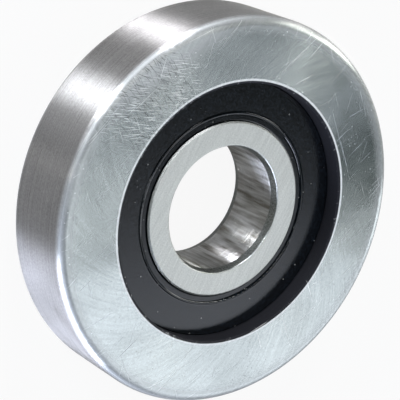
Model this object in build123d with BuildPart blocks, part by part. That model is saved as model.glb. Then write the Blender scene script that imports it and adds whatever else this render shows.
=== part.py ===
from build123d import *
from math import cos, radians, sin
import os

# Forklift mast roller: a sealed ball bearing whose thick outer ring rolls along the mast channel.
# Lengths are millimetres. The Z axis is the roller's axis, and the origin is the middle of the
# bore on the back face. The front is the side where the outer ring stands past the inner ring.

# Rings
bore_diameter = 40.0
inner_ring_wall = 4.9  # least steel between the bore and the ball groove
inner_groove_depth = 3.5  # how far the inner ring's shoulders stand above the groove's floor
outer_groove_depth = 2.6  # how far the outer ring's lands stand in from the groove's floor
tread_diameter = 125.0
tread_edge_radius = 3.0
front_recess_depth = 5.0  # how far the outer ring stands past the inner ring in front
recess_step = 1.65  # from the outer groove's floor out to the wall of the recess
recess_lead_width = 0.8
recess_lead_depth = 0.35
bore_lead_width = 0.8  # the long lead-in chamfer at both ends of the bore
bore_lead_length = 2.8
bore_lead_rounding = 0.5
shoulder_chamfer = 0.5

# Balls
ball_diameter = 15.08
ball_count = 8
running_clearance = 0.05
groove_conformity = 0.52  # radius of a ball groove as a share of the ball's diameter

# Cage: two pressed strips, riveted together between the balls
pocket_clearance = 0.15
cage_thickness = 1.0
cage_band_width = 5.8
cage_bend_radius = 0.45
rivet_shank_diameter = 2.0
rivet_head_diameter = 3.8
rivet_head_height = 0.9
rivet_clearance = 0.05

# Seals: moulded rubber rings held by a bead in the outer ring
cage_to_seal = 0.46
seal_thickness = 1.75
ring_past_seal = 0.6  # how far the inner ring's faces stand past the seals
bead_groove_depth = 0.7
bead_height = 0.6
bead_slope = 0.7
bead_clearance = 0.05
seal_rim_chamfer = 0.3
ridge_width = 1.0
ridge_height = 0.3
lip_band_width = 1.55
lip_band_drop = 0.35
lip_root_thickness = 0.9
lip_gap = 0.55
lip_thickness = 0.4
lip_clearance = 0.2
lip_side_clearance = 0.25
lip_groove_depth = 0.75
lip_groove_flank = 0.3

# Radii, from the bore outwards
bore_radius = bore_diameter / 2
ball_radius = ball_diameter / 2
groove_radius = groove_conformity * ball_diameter
inner_floor_radius = bore_radius + inner_ring_wall
shoulder_radius = inner_floor_radius + inner_groove_depth
pitch_radius = inner_floor_radius + running_clearance + ball_radius
outer_floor_radius = pitch_radius + ball_radius + running_clearance
land_radius = outer_floor_radius - outer_groove_depth
recess_radius = outer_floor_radius + recess_step
bead_groove_radius = recess_radius + bead_groove_depth
tread_radius = tread_diameter / 2

# Heights above the plane of the balls, the same in front and behind
pocket_radius = ball_radius + pocket_clearance
dome_radius = pocket_radius + cage_thickness
seal_inside = dome_radius + cage_to_seal
seal_outside = seal_inside + seal_thickness
lip_height = seal_inside + seal_thickness / 2
ring_half_width = seal_outside + ring_past_seal

# Heights above the back face
ball_plane = ring_half_width
inner_ring_width = 2 * ring_half_width
roller_width = inner_ring_width + front_recess_depth

ball_step = 360 / ball_count
FRONT = 1
BACK = -1


def at(side, radius, height):
    """A point of a half section, at a radius and at a height in front of or behind the balls."""
    return (radius, ball_plane + side * height)


def around(angle):
    """The plane through the axis at an angle, with the radius along x and the axis along y."""
    outward = (cos(radians(angle)), sin(radians(angle)), 0)
    return Plane(origin=(0, 0, 0), x_dir=outward, z_dir=(outward[1], -outward[0], 0))


def seal_room(side, face):
    """Corners of the space that a seal needs: seat, bead groove, recess wall and its lead-in."""
    inside = land_radius - outer_groove_depth
    return (
        at(side, inside, seal_inside),
        at(side, bead_groove_radius, seal_inside),
        at(side, bead_groove_radius, seal_inside + bead_height),
        at(side, recess_radius, seal_inside + bead_height + bead_slope),
        at(side, recess_radius, face - recess_lead_depth),
        at(side, recess_radius + recess_lead_width, face),
        at(side, inside, face),
    )


def lip_groove(side):
    """Corners of the groove in the inner ring that a seal's lip runs in."""
    floor_half = lip_thickness / 2 + lip_side_clearance
    mouth_half = floor_half + lip_groove_flank
    return (
        at(side, shoulder_radius, lip_height + mouth_half),
        at(side, shoulder_radius - lip_groove_depth, lip_height + floor_half),
        at(side, shoulder_radius - lip_groove_depth, lip_height - floor_half),
        at(side, shoulder_radius, lip_height - mouth_half),
    )


def seal_outline(side):
    """Draws the seal's section: bead, rim, face, ridge, thinner lip band, lip and underside."""
    bead_radius = bead_groove_radius - bead_clearance
    rim_radius = recess_radius - bead_clearance
    band_radius = shoulder_radius + lip_gap
    ridge_inside = band_radius + lip_band_width
    ridge_middle = ridge_inside + ridge_width / 2
    ridge_outside = ridge_inside + ridge_width
    tip_radius = shoulder_radius - lip_groove_depth + lip_clearance
    band_height = seal_outside - lip_band_drop
    band_under = band_height - lip_root_thickness
    Polyline(
        at(side, ridge_middle, seal_inside),
        at(side, bead_radius, seal_inside),
        at(side, bead_radius, seal_inside + bead_height),
        at(side, rim_radius, seal_inside + bead_height + bead_slope),
        at(side, rim_radius, seal_outside - seal_rim_chamfer),
        at(side, rim_radius - seal_rim_chamfer, seal_outside),
        at(side, ridge_outside, seal_outside),
    )
    ThreePointArc(
        at(side, ridge_outside, seal_outside),
        at(side, ridge_middle, seal_outside + ridge_height),
        at(side, ridge_inside, seal_outside),
    )
    Polyline(
        at(side, ridge_inside, seal_outside),
        at(side, ridge_inside, band_height),
        at(side, band_radius, band_height),
        at(side, tip_radius, lip_height + lip_thickness / 2),
        at(side, tip_radius, lip_height - lip_thickness / 2),
        at(side, band_radius, band_under),
        at(side, ridge_inside, band_under),
        at(side, ridge_middle, seal_inside),
    )


os.makedirs("parts", exist_ok=True)

# Outer ring: the thick rolling ring, with the ball groove and a seal seat on each side
with BuildPart() as outer_ring:
    with BuildSketch(Plane.XZ) as outer_section:
        with Locations((land_radius, 0)):
            Rectangle(tread_radius - land_radius, roller_width, align=(Align.MIN, Align.MIN))
        fillet(outer_section.vertices().sort_by(Axis.X)[-2:], tread_edge_radius)
        with Locations((outer_floor_radius - groove_radius, ball_plane)):
            Circle(groove_radius, mode=Mode.SUBTRACT)
        for side, face in ((FRONT, roller_width - ball_plane), (BACK, ball_plane)):
            with BuildLine():
                Polyline(*seal_room(side, face), close=True)
            make_face(mode=Mode.SUBTRACT)
    revolve(axis=Axis.Z)
outer_ring.part.label = "outer_ring"
export_step(outer_ring.part, "parts/outer_ring.step")

# Inner ring: the bore with its lead-in chamfers, the ball groove and the two lip grooves
with BuildPart() as inner_ring:
    with BuildSketch(Plane.XZ) as inner_section:
        with BuildLine():
            Polyline(
                (bore_radius, bore_lead_length),
                (bore_radius + bore_lead_width, 0),
                (shoulder_radius - shoulder_chamfer, 0),
                (shoulder_radius, shoulder_chamfer),
                (shoulder_radius, inner_ring_width - shoulder_chamfer),
                (shoulder_radius - shoulder_chamfer, inner_ring_width),
                (bore_radius + bore_lead_width, inner_ring_width),
                (bore_radius, inner_ring_width - bore_lead_length),
                close=True,
            )
        make_face()
        levels = inner_section.vertices().group_by(Axis.Y)
        lead_corners = [level.sort_by(Axis.X)[0] for level in (levels[0], levels[-1])]
        fillet(lead_corners, bore_lead_rounding)
        with Locations((inner_floor_radius + groove_radius, ball_plane)):
            Circle(groove_radius, mode=Mode.SUBTRACT)
        for side in (FRONT, BACK):
            with BuildLine():
                Polyline(*lip_groove(side), close=True)
            make_face(mode=Mode.SUBTRACT)
    revolve(axis=Axis.Z)
inner_ring.part.label = "inner_ring"
export_step(inner_ring.part, "parts/inner_ring.step")

# Balls
for number in range(ball_count):
    with BuildPart(Plane.XY.offset(ball_plane)) as ball:
        with PolarLocations(pitch_radius, 1, start_angle=number * ball_step):
            Sphere(ball_radius)
    ball.part.label = f"ball_{number + 1}"
    export_step(ball.part, f"parts/{ball.part.label}.step")

# Cage: each half is one strip pressed into domed pockets with flat lands between them.
# The front half is domed towards the front, and the back half is the same piece turned over.
for name, side in (("cage_front", FRONT), ("cage_back", BACK)):
    split_plane = Plane(origin=(0, 0, ball_plane), x_dir=(1, 0, 0), z_dir=(0, 0, side))
    with BuildPart(split_plane) as cage:
        Cylinder(
            pitch_radius + 2 * dome_radius,
            cage_thickness,
            align=(Align.CENTER, Align.CENTER, Align.MIN),
        )
        with PolarLocations(pitch_radius, ball_count):
            Sphere(dome_radius)
        circles = cage.edges().filter_by(GeomType.CIRCLE).sort_by(SortBy.RADIUS)
        dome_feet = circles[:ball_count]
        fillet(dome_feet, cage_bend_radius)
        with BuildSketch(split_plane):
            Circle(pitch_radius + cage_band_width / 2)
            Circle(pitch_radius - cage_band_width / 2, mode=Mode.SUBTRACT)
        extrude(amount=dome_radius, mode=Mode.INTERSECT)
        with PolarLocations(pitch_radius, ball_count):
            Sphere(pocket_radius, mode=Mode.SUBTRACT)
        with PolarLocations(pitch_radius, ball_count, start_angle=ball_step / 2):
            Hole(rivet_shank_diameter / 2 + rivet_clearance)
    cage.part.label = name
    export_step(cage.part, f"parts/{name}.step")

# Rivets: a shank through both strips with a domed head on each side
for number in range(ball_count):
    with BuildPart() as rivet:
        with BuildSketch(around((number + 0.5) * ball_step)):
            with BuildLine():
                shank = rivet_shank_diameter / 2
                head = rivet_head_diameter / 2
                head_top = cage_thickness + rivet_head_height
                dome = (head**2 + rivet_head_height**2) / (2 * rivet_head_height)
                for side in (FRONT, BACK):
                    Polyline(
                        at(side, pitch_radius + shank, 0),
                        at(side, pitch_radius + shank, cage_thickness),
                        at(side, pitch_radius + head, cage_thickness),
                    )
                    RadiusArc(
                        at(side, pitch_radius + head, cage_thickness),
                        at(side, pitch_radius, head_top),
                        -side * dome,
                    )
                    Line(at(side, pitch_radius, head_top), at(side, pitch_radius, 0))
            make_face()
        middle = around((number + 0.5) * ball_step).from_local_coords((pitch_radius, 0, 0))
        revolve(axis=Axis(middle, (0, 0, 1)))
    rivet.part.label = f"rivet_{number + 1}"
    export_step(rivet.part, f"parts/{rivet.part.label}.step")

# Seals: the back one is the same moulding turned over
for name, side in (("seal_front", FRONT), ("seal_back", BACK)):
    with BuildPart() as seal:
        with BuildSketch(Plane.XZ):
            with BuildLine():
                seal_outline(side)
            make_face()
        revolve(axis=Axis.Z)
    seal.part.label = name
    export_step(seal.part, f"parts/{name}.step")
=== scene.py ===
import math

import bpy
import numpy as np
from bpy.props import FloatProperty, FloatVectorProperty, PointerProperty
from mathutils import Matrix, Vector


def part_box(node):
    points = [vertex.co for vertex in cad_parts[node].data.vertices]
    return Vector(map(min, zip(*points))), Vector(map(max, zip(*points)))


bl_info = {
    "name": "Mast Roller Finish",
    "version": (1, 0, 0),
    "blender": (4, 5, 0),
    "location": "View3D > Sidebar > Roller",
    "description": "Steel, rubber and studio light for a sealed forklift mast roller",
    "category": "Object",
}

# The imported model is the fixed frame: every size and place below is read from it.
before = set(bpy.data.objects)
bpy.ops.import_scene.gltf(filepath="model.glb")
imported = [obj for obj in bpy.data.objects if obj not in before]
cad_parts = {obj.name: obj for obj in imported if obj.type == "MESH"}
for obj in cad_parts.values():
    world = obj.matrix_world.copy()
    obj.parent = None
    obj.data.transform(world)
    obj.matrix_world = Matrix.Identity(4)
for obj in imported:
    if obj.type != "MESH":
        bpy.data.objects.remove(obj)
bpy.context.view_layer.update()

MM = 0.001
RIDGE_OUT = 2.6 * MM  # from the inner ring's edge out to the crest of the seal's ridge
LEAD_WIDTH = 0.8 * MM  # of the lead-in edges of the recesses and of the bore
EDGE_ROUNDING = 3.0 * MM  # of the tread's edges
FLOOR_DROP = 0.02 * MM  # keeps the floor just clear of the roller's back


def least_radius(node):
    """The smallest distance of a node's points from the roller's axis, in metres."""
    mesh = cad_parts[node].data
    points = np.empty(len(mesh.vertices) * 3, np.float32)
    mesh.vertices.foreach_get("co", points)
    return float(np.hypot(points[0::3], points[1::3]).min())


ROLLER_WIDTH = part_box("outer_ring")[1].z
TREAD_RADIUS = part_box("outer_ring")[1].x
RECESS_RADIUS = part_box("seal_front")[1].x
BORE_RADIUS = least_radius("inner_ring")
RIDGE_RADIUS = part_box("inner_ring")[1].x + RIDGE_OUT


def linear(colour):
    """An sRGB hex colour such as #C0C0C0 as linear RGBA: each channel up to 0.04045 is divided
    by 12.92, and the rest are raised to 2.4 after adding 0.055 and dividing by 1.055."""
    channels = [int(colour[k : k + 2], 16) / 255 for k in (1, 3, 5)]
    return [c / 12.92 if c <= 0.04045 else ((c + 0.055) / 1.055) ** 2.4 for c in channels] + [1.0]


def add_node(tree, kind, inputs=None, **settings):
    """Adds a shader node with its settings. Its inputs, by name or by place, are linked or set."""
    node = tree.nodes.new("ShaderNode" + kind)
    for name, value in settings.items():
        setattr(node, name, value)
    for name, value in (inputs or {}).items():
        if isinstance(value, bpy.types.NodeSocket):
            tree.links.new(value, node.inputs[name])
        else:
            node.inputs[name].default_value = value
    return node


def new_material(name):
    """An empty node material, ready for a shader."""
    material = bpy.data.materials.new(name)
    material.use_nodes = True
    material.node_tree.nodes.clear()
    return material, material.node_tree


def dress(material, *names):
    """Gives a material to CAD nodes through their own slots."""
    for name in names:
        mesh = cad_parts[name].data
        mesh.materials.clear()
        mesh.materials.append(material)


def point_in_mm(tree):
    """The shaded point of a piece in millimetres, as the piece itself is measured."""
    place = add_node(tree, "TexCoord").outputs["Object"]
    return add_node(tree, "VectorMath", {0: place, "Scale": 1 / MM}, operation="SCALE").outputs[0]


def turned_places(tree):
    """The places on a turned piece, in millimetres: its point, height and radius. Also the way out
    from the axis, and the way that a lathe or a grinding wheel runs round it in the scene."""
    point = point_in_mm(tree)
    parts = add_node(tree, "SeparateXYZ", {0: point})
    flat = add_node(tree, "CombineXYZ", {0: parts.outputs[0], 1: parts.outputs[1]}).outputs[0]
    radius = add_node(tree, "VectorMath", {0: flat}, operation="LENGTH").outputs[1]
    outward = add_node(tree, "VectorMath", {0: flat}, operation="NORMALIZE").outputs[0]
    along = add_node(tree, "VectorMath", {0: (0, 0, 1), 1: outward}, operation="CROSS_PRODUCT")
    run = add_node(
        tree,
        "VectorTransform",
        {0: along.outputs[0]},
        vector_type="VECTOR",
        convert_from="OBJECT",
        convert_to="WORLD",
    )
    return {
        "point": point,
        "height": parts.outputs[2],
        "radius": radius,
        "outward": outward,
        "run": run.outputs[0],
    }


def hoops(tree, places, spacing):
    """Fine lines round the axis, from noise that reads radius and height at one line each
    spacing, in millimetres: rings on a face and hoops on a wall. The noise also reads the way
    out from the axis, a little enlarged, so that a line fades and comes back along its turn."""
    across = add_node(tree, "CombineXYZ", {0: places["radius"], 1: places["height"]}).outputs[0]
    fine = add_node(tree, "VectorMath", {0: across, "Scale": 1 / spacing}, operation="SCALE")
    drift = add_node(tree, "VectorMath", {0: places["outward"], "Scale": 1.5}, operation="SCALE")
    spot = add_node(tree, "VectorMath", {0: fine.outputs[0], 1: drift.outputs[0]}).outputs[0]
    return add_node(tree, "TexNoise", {"Vector": spot, "Scale": 1.0, "Detail": 2.0}).outputs[0]


def sweeps(tree, places, width, length, lean):
    """Streaks that cross a face from the axis outwards, as a cup wheel leaves them. The noise reads
    the way out from the axis, turned by lean radians for each millimetre of radius, so that
    the streaks are width wide half-way out, and it reads radius over length."""
    turn = add_node(tree, "Math", {0: places["radius"], 1: lean}, operation="MULTIPLY").outputs[0]
    spun = add_node(
        tree,
        "VectorRotate",
        {"Vector": places["outward"], "Angle": turn},
        rotation_type="Z_AXIS",
    ).outputs[0]
    halfway = (RECESS_RADIUS + TREAD_RADIUS) / 2 / MM
    wide = add_node(tree, "VectorMath", {0: spun, "Scale": halfway / width}, operation="SCALE")
    deep = add_node(tree, "Math", {0: places["radius"], 1: length}, operation="DIVIDE").outputs[0]
    up = add_node(tree, "CombineXYZ", {2: deep}).outputs[0]
    spot = add_node(tree, "VectorMath", {0: wide.outputs[0], 1: up}).outputs[0]
    return add_node(tree, "TexNoise", {"Vector": spot, "Scale": 1.0, "Detail": 3.0}).outputs[0]


def scratches(tree, places, ways, length, width, rarity):
    """Thin straight scratches in several ways, in degrees: noise stretched along each way, of
    which only the peaks above rarity are kept. length and width are millimetres."""
    marks = 0.0
    for number, way in enumerate(ways):
        turned = add_node(
            tree,
            "Mapping",
            {
                "Vector": places["point"],
                "Location": (37.0 * number, 0, 0),
                "Rotation": (0, 0, math.radians(-way)),
            },
        ).outputs[0]
        stretched = add_node(
            tree,
            "VectorMath",
            {0: turned, 1: (1 / length, 1 / width, 1 / length)},
            operation="MULTIPLY",
        ).outputs[0]
        noise = add_node(tree, "TexNoise", {"Vector": stretched, "Scale": 1.0, "Detail": 1.0})
        peaks = add_node(
            tree,
            "MapRange",
            {"Value": noise.outputs[0], "From Min": rarity, "From Max": rarity + 0.05},
        ).outputs[0]
        marks = add_node(tree, "Math", {0: marks, 1: peaks}, operation="MAXIMUM").outputs[0]
    return marks


def specks(tree, places, spacing, size):
    """Small round marks, a few for each ten cells of a Voronoi pattern. spacing and size are
    millimetres."""
    cells = add_node(tree, "TexVoronoi", {"Vector": places["point"], "Scale": 1 / spacing})
    near = add_node(
        tree,
        "MapRange",
        {"Value": cells.outputs["Distance"], "From Min": size / spacing, "From Max": 0.0},
    ).outputs[0]
    tone = add_node(tree, "SeparateColor", {0: cells.outputs["Color"]}).outputs[0]
    few = add_node(tree, "MapRange", {"Value": tone, "From Min": 0.7, "From Max": 0.8}).outputs[0]
    return add_node(tree, "Math", {0: near, 1: few}, operation="MULTIPLY").outputs[0]


def speckled(tree, noise, swing):
    """A factor that goes above and below 1 with a noise, by half of swing at most."""
    middle = add_node(tree, "Math", {0: noise, 1: 0.5}, operation="SUBTRACT").outputs[0]
    return add_node(
        tree, "Math", {0: middle, 1: swing, 2: 1.0}, operation="MULTIPLY_ADD"
    ).outputs[0]


def ground_ring_steel(finish):
    """Bearing steel, ground on a wheel that runs round the ring: finely on the faces and more
    coarsely on the tread. It gives the eye crisp edges round the ring and long smears of light
    across the grinding lines, streaks, specks and handling scratches on the faces, and short pale
    and dark strokes where the front face is worn. The roundings and one stretch of the rim are
    rubbed duller. The lead-in edges of the recesses are duller too and painted pale, a painted
    highlight, and their walls are duller and painted dark, a painted shade. Real grinding lines
    are about 0.05 mm apart, too fine to show, so they are drawn about 0.5 mm apart. All the sizes
    in its patterns are millimetres."""
    material, tree = new_material("ground_ring_steel")
    places = turned_places(tree)
    half = ROLLER_WIDTH / MM / 2
    tread = TREAD_RADIUS / MM
    recess = RECESS_RADIUS / MM
    lead_end = recess + LEAD_WIDTH / MM  # where the lead-in edge of a recess meets the face
    bend = half - EDGE_ROUNDING / MM  # where the rounding leaves the tread
    worn_core = 11.0  # the patch is worn most within this radius
    worn_end = 22.0  # and not at all outside this one
    pale_stroke = 0.7  # how far a pale stroke goes to the colour of a scratch
    dark_stroke = 0.3  # what a dark stroke leaves of the steel's colour
    scratch_roughness = 0.6
    rounding_share = 0.55  # how much of a rounding is rubbed dull
    faint_scratch = 0.6  # how strongly a scratch shows on rubbed steel

    # off is the distance from the ring's middle plane, and face is 1 on the flat faces.
    middle = add_node(tree, "Math", {0: places["height"], 1: half}, operation="SUBTRACT")
    off = add_node(tree, "Math", {0: middle.outputs[0]}, operation="ABSOLUTE").outputs[0]
    face = add_node(
        tree, "MapRange", {"Value": off, "From Min": half - 0.8, "From Max": half - 0.2}
    ).outputs[0]

    # The ground skin: lines on the tread, streaks on the faces, and a fine grain over both
    lines = hoops(tree, places, spacing=0.5)
    streaks = sweeps(tree, places, width=1.2, length=14.0, lean=0.02)
    grain = add_node(
        tree, "TexNoise", {"Vector": places["point"], "Scale": 1 / 0.6, "Detail": 3.0}
    ).outputs[0]
    tone = add_node(tree, "Mix", {0: face, 2: lines, 3: streaks}).outputs[0]
    tone = add_node(tree, "Mix", {0: 0.5, 2: tone, 3: grain}).outputs[0]

    # Handling marks on the faces, and in the worn patch pale strokes, combed, and dark ones, hatch
    marks = scratches(
        tree, places, ways=(156, 139, 12, 163, 50), length=20.0, width=0.3, rarity=0.745
    )
    dots = specks(tree, places, spacing=1.5, size=0.24)
    worn_middle = Vector(finish.worn_place) / MM
    patch = add_node(
        tree, "VectorMath", {0: places["point"], 1: worn_middle}, operation="DISTANCE"
    ).outputs[1]
    worn = add_node(
        tree, "MapRange", {"Value": patch, "From Min": worn_end, "From Max": worn_core}
    ).outputs[0]
    worn = add_node(tree, "Math", {0: worn, 1: face}, operation="MULTIPLY").outputs[0]
    combed = scratches(tree, places, ways=(106, 115), length=7.0, width=0.28, rarity=0.64)
    combed = add_node(tree, "Math", {0: combed, 1: worn}, operation="MULTIPLY").outputs[0]
    combed = add_node(tree, "Math", {0: combed, 1: pale_stroke}, operation="MULTIPLY").outputs[0]
    hatch = scratches(tree, places, ways=(73, 57, 99), length=7.0, width=0.28, rarity=0.63)
    hatch = add_node(tree, "Math", {0: hatch, 1: worn}, operation="MULTIPLY").outputs[0]
    hatch = add_node(
        tree, "MapRange", {"Value": hatch, "To Min": 1.0, "To Max": dark_stroke}
    ).outputs[0]
    cuts = add_node(tree, "Math", {0: marks, 1: dots}, operation="MAXIMUM").outputs[0]
    cuts = add_node(tree, "Math", {0: cuts, 1: combed}, operation="MAXIMUM").outputs[0]
    cuts = add_node(tree, "Math", {0: cuts, 1: face}, operation="MULTIPLY").outputs[0]

    # The colour of the ground steel, which swings twice as far on the tread as on the faces
    ground = add_node(
        tree,
        "Mix",
        {0: face, 6: finish.tread_steel, 7: finish.face_steel},
        data_type="RGBA",
    ).outputs[2]
    swing = add_node(tree, "MapRange", {"Value": face, "To Min": 1.6, "To Max": 0.8}).outputs[0]
    shade = speckled(tree, tone, swing)
    shade = add_node(tree, "Math", {0: shade, 1: hatch}, operation="MULTIPLY").outputs[0]
    body = add_node(tree, "VectorMath", {0: ground, "Scale": shade}, operation="SCALE").outputs[0]
    colour = add_node(
        tree, "Mix", {0: cuts, 6: body, 7: finish.scratch}, data_type="RGBA"
    ).outputs[2]

    # The lines are cut into the tread alone: the faces are too fine to break up a reflection.
    coarse = add_node(tree, "Math", {0: 1.0, 1: face}, operation="SUBTRACT").outputs[0]
    cut = add_node(
        tree, "Bump", {"Height": speckled(tree, tone, coarse), "Distance": 0.05 * MM}
    ).outputs[0]

    # Its roughness goes over the rounding from the tread's to the face's, a little uneven in soft
    # clouds 14 mm across.
    clouds = add_node(
        tree, "TexNoise", {"Vector": places["point"], "Scale": 1 / 14, "Detail": 3.0}
    ).outputs[0]
    uneven = add_node(
        tree,
        "MapRange",
        {"Value": clouds, "From Min": 0.3, "From Max": 0.7, "To Min": 0.88, "To Max": 1.12},
    ).outputs[0]
    rough = add_node(
        tree,
        "MapRange",
        {
            "Value": off,
            "From Min": bend,
            "From Max": half,
            "To Min": finish.tread_roughness,
            "To Max": finish.face_roughness,
        },
    ).outputs[0]
    rough = add_node(tree, "Math", {0: rough, 1: uneven}, operation="MULTIPLY").outputs[0]
    rough = add_node(tree, "Mix", {0: cuts, 2: rough, 3: scratch_roughness}).outputs[0]
    ring = add_node(
        tree,
        "BsdfPrincipled",
        {
            "Base Color": colour,
            "Metallic": 1.0,
            "Roughness": rough,
            "Anisotropic": 1.0,
            "Anisotropic Rotation": 0.25,
            "Tangent": places["run"],
            "Normal": cut,
        },
    ).outputs[0]

    # Where the steel is dull: the roundings, one rubbed stretch of the rim, the lead-in edges of
    # the recesses (lead), which are also painted pale as a painted highlight, and all that is
    # further in (wall), which is also painted dark as painted shade.
    near_tread = add_node(
        tree,
        "MapRange",
        {"Value": places["radius"], "From Min": tread - 6.0, "From Max": tread - 2.5},
    ).outputs[0]
    near_face = add_node(
        tree, "MapRange", {"Value": off, "From Min": bend, "From Max": half - 1.0}
    ).outputs[0]
    rounding = add_node(
        tree, "Math", {0: near_tread, 1: near_face}, operation="MULTIPLY"
    ).outputs[0]
    rounding = add_node(
        tree, "Math", {0: rounding, 1: rounding_share}, operation="MULTIPLY"
    ).outputs[0]
    reach = add_node(
        tree, "VectorMath", {0: places["point"], 1: finish.rubbed_way}, operation="DOT_PRODUCT"
    ).outputs[1]
    rubbed = add_node(
        tree, "MapRange", {"Value": reach, "From Min": tread - 12.0, "From Max": tread - 4.0}
    ).outputs[0]
    rubbed = add_node(tree, "Math", {0: rubbed, 1: face}, operation="MULTIPLY").outputs[0]
    rounding = add_node(tree, "Math", {0: rounding, 1: rubbed}, operation="MAXIMUM").outputs[0]
    wall_end = add_node(
        tree,
        "MapRange",
        {"Value": places["radius"], "From Min": recess + 0.05, "From Max": recess + 0.15},
    ).outputs[0]
    face_end = add_node(
        tree,
        "MapRange",
        {"Value": places["radius"], "From Min": lead_end + 0.05, "From Max": lead_end - 0.05},
    ).outputs[0]
    lead = add_node(tree, "Math", {0: wall_end, 1: face_end}, operation="MULTIPLY").outputs[0]
    wall = add_node(tree, "Math", {0: 1.0, 1: wall_end}, operation="SUBTRACT").outputs[0]
    edges = add_node(tree, "Math", {0: rounding, 1: lead}, operation="MAXIMUM").outputs[0]
    edges = add_node(tree, "Math", {0: edges, 1: wall}, operation="MAXIMUM").outputs[0]
    # The lead-in edges of the recesses get a pale colour, a painted highlight.
    edge_colour = add_node(
        tree,
        "Mix",
        {0: lead, 6: finish.edge_steel, 7: finish.lead_highlight_steel},
        data_type="RGBA",
    ).outputs[2]
    # The recess walls and all that is further in get a dark colour, painted shade of the recesses.
    edge_colour = add_node(
        tree, "Mix", {0: wall, 6: edge_colour, 7: finish.shaded_wall_steel}, data_type="RGBA"
    ).outputs[2]
    shade = speckled(tree, tone, 0.8)
    shade = add_node(tree, "Math", {0: shade, 1: hatch}, operation="MULTIPLY").outputs[0]
    edge_colour = add_node(
        tree, "VectorMath", {0: edge_colour, "Scale": shade}, operation="SCALE"
    ).outputs[0]
    faint = add_node(tree, "Math", {0: cuts, 1: faint_scratch}, operation="MULTIPLY").outputs[0]
    edge_colour = add_node(
        tree, "Mix", {0: faint, 6: edge_colour, 7: finish.struck_steel}, data_type="RGBA"
    ).outputs[2]
    dull = add_node(
        tree,
        "BsdfPrincipled",
        {"Base Color": edge_colour, "Metallic": 1.0, "Roughness": finish.edge_roughness},
    ).outputs[0]
    shader = add_node(tree, "MixShader", {0: edges, 1: ring, 2: dull})
    add_node(tree, "OutputMaterial", {0: shader.outputs[0]})
    return material


def bore_ring_steel(finish):
    """Bearing steel with its faces ground flat on a plate, so that their lines run nearly
    straight across and they look evenly pale. The bore is ground and honed: it shows the lamps
    as bright bands, broken by streaks that run along it, and its lead-in edges are darker and
    grainy. Both kinds of line are drawn 0.5 mm apart or more, coarser than real ones."""
    material, tree = new_material("bore_ring_steel")
    places = turned_places(tree)
    bore = BORE_RADIUS / MM
    lead_end = bore + LEAD_WIDTH / MM  # where the bore's lead-in edges meet the faces

    # out is 0 in the bore and 1 on all the rest, and flat is 1 past the lead-in edges.
    out = add_node(
        tree,
        "MapRange",
        {"Value": places["radius"], "From Min": bore + 0.02, "From Max": bore + 0.08},
    ).outputs[0]
    flat = add_node(
        tree,
        "MapRange",
        {"Value": places["radius"], "From Min": lead_end - 0.05, "From Max": lead_end + 0.1},
    ).outputs[0]

    # Honing strokes along the bore: 12 to each radian of its turn, and 14 mm long
    around = add_node(
        tree, "VectorMath", {0: places["outward"], "Scale": 12.0}, operation="SCALE"
    ).outputs[0]
    rise = add_node(tree, "Math", {0: places["height"], 1: 14.0}, operation="DIVIDE").outputs[0]
    lift = add_node(tree, "CombineXYZ", {2: rise}).outputs[0]
    spot = add_node(tree, "VectorMath", {0: around, 1: lift}).outputs[0]
    strokes = add_node(tree, "TexNoise", {"Vector": spot, "Scale": 1.0, "Detail": 4.0}).outputs[0]
    stroked = add_node(
        tree, "MapRange", {"Value": strokes, "From Min": 0.33, "From Max": 0.63}
    ).outputs[0]
    honed_colour = add_node(
        tree,
        "Mix",
        {0: stroked, 6: finish.honed_low, 7: finish.honed_high},
        data_type="RGBA",
    ).outputs[2]

    # Plate lines across the faces: 0.5 mm apart and 9 mm long
    across = add_node(
        tree,
        "Mapping",
        {
            "Vector": places["point"],
            "Rotation": (0, 0, finish.plate_angle),
            "Scale": (1 / 9, 1 / 0.5, 1 / 9),
        },
    ).outputs[0]
    lines = add_node(tree, "TexNoise", {"Vector": across, "Scale": 1.0, "Detail": 2.0}).outputs[0]
    colour = add_node(
        tree,
        "Mix",
        {0: lines, 6: finish.bore_low, 7: finish.bore_high},
        data_type="RGBA",
    ).outputs[2]
    plate_colour = add_node(
        tree, "Mix", {0: flat, 6: finish.chamfer_steel, 7: colour}, data_type="RGBA"
    ).outputs[2]

    # A speckle 0.5 mm across, much stronger on the lead-in edges than on the faces
    speckle = add_node(
        tree, "TexNoise", {"Vector": places["point"], "Scale": 1 / 0.5, "Detail": 2.0}
    ).outputs[0]
    dotted = add_node(tree, "MapRange", {"Value": flat, "To Min": 2.0, "To Max": 0.5}).outputs[0]
    rough = add_node(tree, "MapRange", {"Value": flat, "To Min": 0.3, "To Max": 0.5}).outputs[0]
    plate_colour = add_node(
        tree,
        "VectorMath",
        {0: plate_colour, "Scale": speckled(tree, speckle, dotted)},
        operation="SCALE",
    ).outputs[0]

    # The bore's grinding lines are cut deep enough to spread each lamp along the bore.
    wound = hoops(tree, places, spacing=0.6)
    grooves = add_node(tree, "Bump", {"Height": wound, "Distance": 0.45 * MM}).outputs[0]
    honed = add_node(
        tree,
        "BsdfPrincipled",
        {
            "Base Color": honed_colour,
            "Metallic": 1.0,
            "Roughness": finish.bore_roughness,
            "Anisotropic": 1.0,
            "Anisotropic Rotation": 0.25,
            "Tangent": places["run"],
            "Normal": grooves,
        },
    ).outputs[0]
    plate = add_node(
        tree,
        "BsdfPrincipled",
        {"Base Color": plate_colour, "Metallic": 1.0, "Roughness": rough},
    ).outputs[0]
    shader = add_node(tree, "MixShader", {0: out, 1: honed, 2: plate})
    add_node(tree, "OutputMaterial", {0: shader.outputs[0]})
    return material


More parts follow.
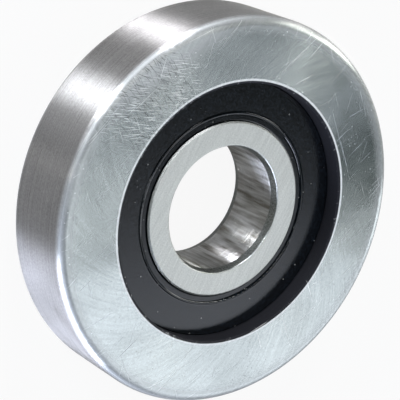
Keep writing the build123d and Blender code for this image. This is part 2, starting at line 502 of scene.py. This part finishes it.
def moulded_nitrile_rubber(finish):
    """Nitrile rubber moulded in a smooth steel die: nearly black, with a satin shine that shows
    the lights as soft bands, a faint orange peel, a little dust and a glossier ridge."""
    material, tree = new_material("moulded_nitrile_rubber")
    places = turned_places(tree)
    peel = add_node(
        tree, "TexNoise", {"Vector": places["point"], "Scale": 1 / 0.6, "Detail": 2.0}
    ).outputs[0]
    dust = specks(tree, places, spacing=2.0, size=0.3)
    mottled = add_node(
        tree, "MapRange", {"Value": peel, "From Min": 0.48, "From Max": 0.66}
    ).outputs[0]
    body = add_node(
        tree,
        "Mix",
        {0: mottled, 6: finish.rubber_low, 7: finish.rubber_high},
        data_type="RGBA",
    ).outputs[2]
    colour = add_node(
        tree, "Mix", {0: dust, 6: body, 7: finish.dust}, data_type="RGBA"
    ).outputs[2]
    bump = add_node(tree, "Bump", {"Height": peel, "Distance": 0.012 * MM}).outputs[0]
    rough = add_node(tree, "MapRange", {"Value": peel, "To Min": 0.14, "To Max": 0.26}).outputs[0]

    # ridge is 1 within 0.6 mm of the crest.
    aside = add_node(
        tree, "Math", {0: places["radius"], 1: RIDGE_RADIUS / MM}, operation="SUBTRACT"
    ).outputs[0]
    aside = add_node(tree, "Math", {0: aside}, operation="ABSOLUTE").outputs[0]
    ridge = add_node(
        tree, "MapRange", {"Value": aside, "From Min": 0.9, "From Max": 0.6}
    ).outputs[0]
    rough = add_node(tree, "Mix", {0: ridge, 2: rough, 3: finish.ridge_roughness}).outputs[0]
    shader = add_node(
        tree,
        "BsdfPrincipled",
        {"Base Color": colour, "Roughness": rough, "IOR": 1.52, "Normal": bump},
    )
    add_node(tree, "OutputMaterial", {0: shader.outputs[0]})
    return material


def clouded_steel(name, low, high, spacing, smooth, rough):
    """Steel with a cloudy skin: its tone, between low and high, and its roughness, between smooth
    and rough, follow one noise, spacing millimetres across. Pressed strip and upset rivets look
    dull and patchy in it, and lapped balls nearly mirror-bright."""
    material, tree = new_material(name)
    skin = add_node(
        tree, "TexNoise", {"Vector": point_in_mm(tree), "Scale": 1 / spacing, "Detail": 4.0}
    ).outputs[0]
    colour = add_node(tree, "Mix", {0: skin, 6: low, 7: high}, data_type="RGBA").outputs[2]
    uneven = add_node(
        tree, "MapRange", {"Value": skin, "To Min": smooth, "To Max": rough}
    ).outputs[0]
    bump = add_node(tree, "Bump", {"Height": skin, "Distance": 0.005 * MM}).outputs[0]
    shader = add_node(
        tree,
        "BsdfPrincipled",
        {"Base Color": colour, "Metallic": 1.0, "Roughness": uneven, "Normal": bump},
    )
    add_node(tree, "OutputMaterial", {0: shader.outputs[0]})
    return material


def colour_property(name, description, colour):
    """A colour property with an sRGB hex colour as its default."""
    return FloatVectorProperty(
        name=name, description=description, subtype="COLOR", size=4, default=linear(colour)
    )


def share_property(name, description, default):
    """A property between 0 and 1."""
    return FloatProperty(
        name=name, description=description, subtype="FACTOR", min=0.0, max=1.0, default=default
    )


class RollerFinish(bpy.types.PropertyGroup):
    """Colours and roughness of the roller's steel and rubber"""

    face_steel: colour_property("Face Steel", "The outer ring's faces", "#BABFBC")
    tread_steel: colour_property("Tread Steel", "The outer ring's tread", "#A19E9C")
    # A dark colour painted on the recess walls as painted shade
    shaded_wall_steel: colour_property("Wall Steel", "The walls of the outer ring's recesses", "#2F2F33")
    edge_steel: colour_property("Edge Steel", "The outer ring's roundings", "#B2B4B4")
    scratch: colour_property("Scratch", "Fresh metal in a scratch on a face", "#D4D6D6")
    struck_steel: colour_property("Struck Steel", "Fresh metal on rubbed steel", "#FFFFFF")
    bore_low: colour_property("Bore Ring, Low", "Its faces between the grinding lines", "#B0B1AD")
    bore_high: colour_property("Bore Ring, High", "Its faces on the grinding lines", "#D0D1CC")
    honed_low: colour_property("Honed Steel, Low", "The bore's darker streaks", "#87827A")
    honed_high: colour_property("Honed Steel, High", "The bore's paler streaks", "#E0DFDE")
    # A pale colour painted on the lead-in edges as a painted highlight
    lead_highlight_steel: colour_property("Lead-in Steel", "The lead-in edges of the recesses", "#D4D6D6")
    chamfer_steel: colour_property("Chamfer Steel", "The bore's lead-in edges", "#8C8F8C")
    rubber_low: colour_property("Rubber, Low", "The seals' plain rubber", "#050608")
    rubber_high: colour_property("Rubber, High", "The seals' grain", "#141A21")
    dust: colour_property("Dust", "Specks on the seals", "#B0B0AC")
    cage_low: colour_property("Cage, Low", "Pressed strip in its darker patches", "#8C8983")
    cage_high: colour_property("Cage, High", "Pressed strip in its lighter patches", "#B3B1AB")
    ball_low: colour_property("Ball, Low", "Lapped balls in their darker patches", "#C2C4C6")
    ball_high: colour_property("Ball, High", "Lapped balls in their lighter patches", "#D2D4D6")
    face_roughness: share_property("Face Roughness", "On the outer ring's faces", 0.2)
    tread_roughness: share_property("Tread Roughness", "On the outer ring's tread", 0.33)
    edge_roughness: share_property("Edge Roughness", "On roundings and in recesses", 0.58)
    bore_roughness: share_property("Bore Roughness", "In the bore", 0.33)
    ridge_roughness: share_property("Ridge Roughness", "On the ridge of the seals", 0.09)
    worn_place: FloatVectorProperty(
        name="Worn Place",
        description="Middle of the worn patch on the front face",
        subtype="TRANSLATION",
        unit="LENGTH",
        default=(-20 * MM, -50 * MM, ROLLER_WIDTH),
    )
    rubbed_way: FloatVectorProperty(
        name="Rubbed Way",
        description="Way from the axis to the rim's duller, paler stretch",
        subtype="DIRECTION",
        default=(math.cos(math.radians(-122)), math.sin(math.radians(-122)), 0.0),
    )
    plate_angle: FloatProperty(
        name="Plate Angle",
        description="Way of the lines on the bore ring's faces",
        subtype="ANGLE",
        default=math.radians(30),
    )


class RollerStage(bpy.types.PropertyGroup):
    """Camera, floor and studio light"""

    aim: FloatVectorProperty(
        name="Aim",
        description="Point that the camera looks at",
        subtype="TRANSLATION",
        unit="LENGTH",
        default=(0.6 * MM, -14.8 * MM, 28 * MM),
    )
    distance: FloatProperty(
        name="Distance", description="From the aim to the camera", unit="LENGTH", default=0.5245
    )
    elevation: FloatProperty(
        name="Elevation",
        description="Of the camera above the floor",
        subtype="ANGLE",
        default=math.radians(50.44),
    )
    roll: FloatProperty(
        name="Roll",
        description="Turn of the picture about the view",
        subtype="ANGLE",
        default=math.radians(116.35),
    )
    lens: FloatProperty(name="Lens", description="Focal length", unit="CAMERA", default=155.1)
    reach: FloatProperty(
        name="Reach", description="From the roller to the lamps", unit="LENGTH", default=2.5
    )
    room: colour_property("Room", "Walls of the dark room", "#3B4543")
    floor: colour_property("Floor", "Pale floor", "#B4B4B4")
    seen_white: share_property("Seen White", "Plain white in the floor that the camera sees", 0.92)
    mirrored_white: share_property("Mirrored White", "Plain white in the floor's reflection", 0.2)


# The studio light: a large cool white card, brightest low down and at its far end, window
# strips in a dark room and a soft ceiling. Each lamp of the card and each strip fills a stretch
# of azimuth, in degrees, and stands between two slopes, height over distance, as the roller
# sees it. Then come its brightness and its tint. All lamps of the card are in one plane, square
# to the azimuth CARD_SIDE. A ceiling lamp has an azimuth and a distance from the axis, as a share
# of the stage's reach, and then its brightness and its tint too.
CARD_SIDE = 32.7
CARD = (
    ("card_edge", -35, -14, 0.0, 0.4, 30.0, "#E1EAFF"),
    ("card_low", -14, 20, 0.0, 0.4, 20.0, "#E1EAFF"),
    ("card_tall", 50, 91, 0.4, 2.1, 2.2, "#EFF4FF"),
    ("card_end", 91, 102, 0.4, 1.3, 4.2, "#F4F8FF"),
)
STRIPS = (
    ("strip_left", 143, 153, 0.0, 0.6, 4.6, "#FDFFFA"),
    ("strip_pale", 126, 138, 0.0, 0.8, 7.5, "#FDFFFA"),
    ("strip_far", -161, -147, 0.0, 0.5, 33.0, "#F6F8FF"),
    ("strip_near", -118, -104, 0.0, 0.5, 36.0, "#F2F8FF"),
    ("strip_thin", -95, -91, 0.0, 0.5, 4.0, "#F2F8FF"),
    ("strip_edge", -75, -73, 0.0, 0.5, 6.0, "#FDFFFA"),
)
CEILING = (
    ("ceiling_left", 155, 0.38, 2.8, "#FFFFFF"),
    ("ceiling_near", -160, 0.38, 2.2, "#FFFFFF"),
    ("ceiling_right", 60, 0.38, 2.2, "#F2F8FF"),
    ("ceiling_front", -60, 0.5, 1.6, "#F2F8FF"),
    ("ceiling_top", 0, 0.0, 1.6, "#F2F8FF"),
)
CEILING_SIZE = (0.28, 0.32)  # width and depth of a ceiling lamp, as shares of the reach
FLOOR_REACH = 2.4  # half the floor's width, as a share of the reach


def hang_lamp(name, width, depth, brightness, tint, place):
    """A flat area lamp, not seen by the camera, that shines down its own Z axis. Its power is its
    brightness times its area times pi."""
    lamp = bpy.data.lights.new(name, "AREA")
    lamp.shape = "RECTANGLE"
    lamp.size = width
    lamp.size_y = depth
    lamp.energy = brightness * width * depth * math.pi
    lamp.color = linear(tint)[:3]
    piece = bpy.data.objects.new(name, lamp)
    bpy.context.scene.collection.objects.link(piece)
    piece.matrix_world = place
    piece.visible_camera = False


def hang_upright(name, side, start, end, low, high, brightness, tint, reach):
    """A lamp in the upright plane that is reach away and square to the azimuth side. It goes from
    the azimuth start to end, and from the slope low to high."""
    first = reach * math.tan(math.radians(start - side))
    last = reach * math.tan(math.radians(end - side))
    place = (
        Matrix.Rotation(math.radians(side), 4, "Z")
        @ Matrix.Translation((reach, (first + last) / 2, (low + high) / 2 * reach))
        @ Vector((-1, 0, 0)).to_track_quat("-Z", "Y").to_matrix().to_4x4()
    )
    hang_lamp(name, last - first, (high - low) * reach, brightness, tint, place)


class ROLLER_OT_outer_ring(bpy.types.Operator):
    """Finish the thick outer ring in ground steel"""

    bl_idname = "roller.outer_ring"
    bl_label = "Outer Ring"

    def execute(self, context):
        dress(ground_ring_steel(context.scene.roller_finish), "outer_ring")
        return {"FINISHED"}


class ROLLER_OT_inner_ring(bpy.types.Operator):
    """Finish the ring round the bore in fine ground steel"""

    bl_idname = "roller.inner_ring"
    bl_label = "Inner Ring"

    def execute(self, context):
        dress(bore_ring_steel(context.scene.roller_finish), "inner_ring")
        return {"FINISHED"}


class ROLLER_OT_seals(bpy.types.Operator):
    """Finish both seals in moulded rubber"""

    bl_idname = "roller.seals"
    bl_label = "Seals"

    def execute(self, context):
        dress(moulded_nitrile_rubber(context.scene.roller_finish), "seal_front", "seal_back")
        return {"FINISHED"}


class ROLLER_OT_cage(bpy.types.Operator):
    """Finish the cage in pressed strip, its rivets in upset steel and the balls in lapped steel"""

    bl_idname = "roller.cage"
    bl_label = "Cage and Balls"

    def execute(self, context):
        finish = context.scene.roller_finish
        strip = (finish.cage_low, finish.cage_high)
        balls = (finish.ball_low, finish.ball_high)
        pressed = clouded_steel("pressed_steel_strip", *strip, spacing=2.0, smooth=0.32, rough=0.48)
        upset = clouded_steel("upset_rivet_steel", *strip, spacing=0.8, smooth=0.3, rough=0.5)
        lapped = clouded_steel("lapped_ball_steel", *balls, spacing=6.0, smooth=0.05, rough=0.09)
        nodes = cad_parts
        dress(pressed, "cage_front", "cage_back")
        dress(upset, *[name for name in nodes if name.startswith("rivet_")])
        dress(lapped, *[name for name in nodes if name.startswith("ball_")])
        return {"FINISHED"}


class ROLLER_OT_stage(bpy.types.Operator):
    """Lay the floor, hang the lights and set up the camera"""

    bl_idname = "roller.stage"
    bl_label = "Stage"

    def execute(self, context):
        stage = context.scene.roller_stage
        scene = context.scene
        size = FLOOR_REACH * stage.reach
        mesh = bpy.data.meshes.new("floor")
        mesh.from_pydata(
            [
                (-size, -size, -FLOOR_DROP),
                (size, -size, -FLOOR_DROP),
                (size, size, -FLOOR_DROP),
                (-size, size, -FLOOR_DROP),
            ],
            [],
            [(0, 1, 2, 3)],
        )
        floor = bpy.data.objects.new("floor", mesh)
        scene.collection.objects.link(floor)
        material, tree = new_material("pale_floor")
        lit = add_node(tree, "BsdfDiffuse", {"Color": stage.floor}).outputs[0]
        white = add_node(tree, "Emission", {"Color": linear("#FFFFFF")}).outputs[0]
        path = add_node(tree, "LightPath")
        seen = add_node(
            tree,
            "Math",
            {0: path.outputs["Is Camera Ray"], 1: stage.seen_white},
            operation="MULTIPLY",
        ).outputs[0]
        mirrored = add_node(
            tree,
            "Math",
            {0: path.outputs["Is Glossy Ray"], 1: path.outputs["Is Transmission Ray"]},
            operation="MAXIMUM",
        ).outputs[0]
        mirrored = add_node(
            tree, "Math", {0: mirrored, 1: stage.mirrored_white}, operation="MULTIPLY"
        ).outputs[0]
        share = add_node(tree, "Math", {0: seen, 1: mirrored}, operation="MAXIMUM").outputs[0]
        shader = add_node(tree, "MixShader", {0: share, 1: lit, 2: white})
        add_node(tree, "OutputMaterial", {0: shader.outputs[0]})
        mesh.materials.append(material)

        world = bpy.data.worlds.new("room")
        world.use_nodes = True
        world.node_tree.nodes.clear()
        light = add_node(world.node_tree, "Background", {"Color": stage.room})
        add_node(world.node_tree, "OutputWorld", {0: light.outputs[0]})
        scene.world = world
        for name, *lamp in CARD:
            hang_upright(name, CARD_SIDE, *lamp, stage.reach)
        for name, start, end, *lamp in STRIPS:
            hang_upright(name, (start + end) / 2, start, end, *lamp, stage.reach)
        for name, azimuth, out, brightness, tint in CEILING:
            turn = Matrix.Rotation(math.radians(azimuth), 4, "Z")
            place = turn @ Matrix.Translation((out * stage.reach, 0, stage.reach))
            width, depth = (share * stage.reach for share in CEILING_SIZE)
            hang_lamp(name, width, depth, brightness, tint, place)

        camera = bpy.data.cameras.new("camera")
        camera.lens = stage.lens
        camera.sensor_width = 36.0
        camera.clip_start = 10 * MM
        piece = bpy.data.objects.new("camera", camera)
        scene.collection.objects.link(piece)
        tilt = Matrix.Rotation(math.radians(90) - stage.elevation, 4, "X")
        piece.matrix_world = (
            Matrix.Translation(stage.aim)
            @ tilt
            @ Matrix.Rotation(stage.roll, 4, "Z")
            @ Matrix.Translation((0, 0, stage.distance))
        )
        scene.camera = piece
        scene.view_settings.view_transform = "Standard"
        return {"FINISHED"}


class ROLLER_PT_panel(bpy.types.Panel):
    """Lists the roller's operators"""

    bl_idname = "ROLLER_PT_panel"
    bl_label = "Mast Roller"
    bl_space_type = "VIEW_3D"
    bl_region_type = "UI"
    bl_category = "Roller"

    def draw(self, context):
        for operator in OPERATORS:
            self.layout.operator(operator.bl_idname)


OPERATORS = (
    ROLLER_OT_outer_ring,
    ROLLER_OT_inner_ring,
    ROLLER_OT_seals,
    ROLLER_OT_cage,
    ROLLER_OT_stage,
)


def register():
    bpy.utils.register_class(RollerFinish)
    bpy.utils.register_class(RollerStage)
    bpy.types.Scene.roller_finish = PointerProperty(type=RollerFinish)
    bpy.types.Scene.roller_stage = PointerProperty(type=RollerStage)
    for operator in OPERATORS:
        bpy.utils.register_class(operator)
    bpy.utils.register_class(ROLLER_PT_panel)


def unregister():
    bpy.utils.unregister_class(ROLLER_PT_panel)
    for operator in reversed(OPERATORS):
        bpy.utils.unregister_class(operator)
    del bpy.types.Scene.roller_stage
    del bpy.types.Scene.roller_finish
    bpy.utils.unregister_class(RollerStage)
    bpy.utils.unregister_class(RollerFinish)


def main():
    """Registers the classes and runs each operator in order."""
    register()
    bpy.ops.roller.outer_ring()
    bpy.ops.roller.inner_ring()
    bpy.ops.roller.seals()
    bpy.ops.roller.cage()
    bpy.ops.roller.stage()


if __name__ == "__main__":
    main()
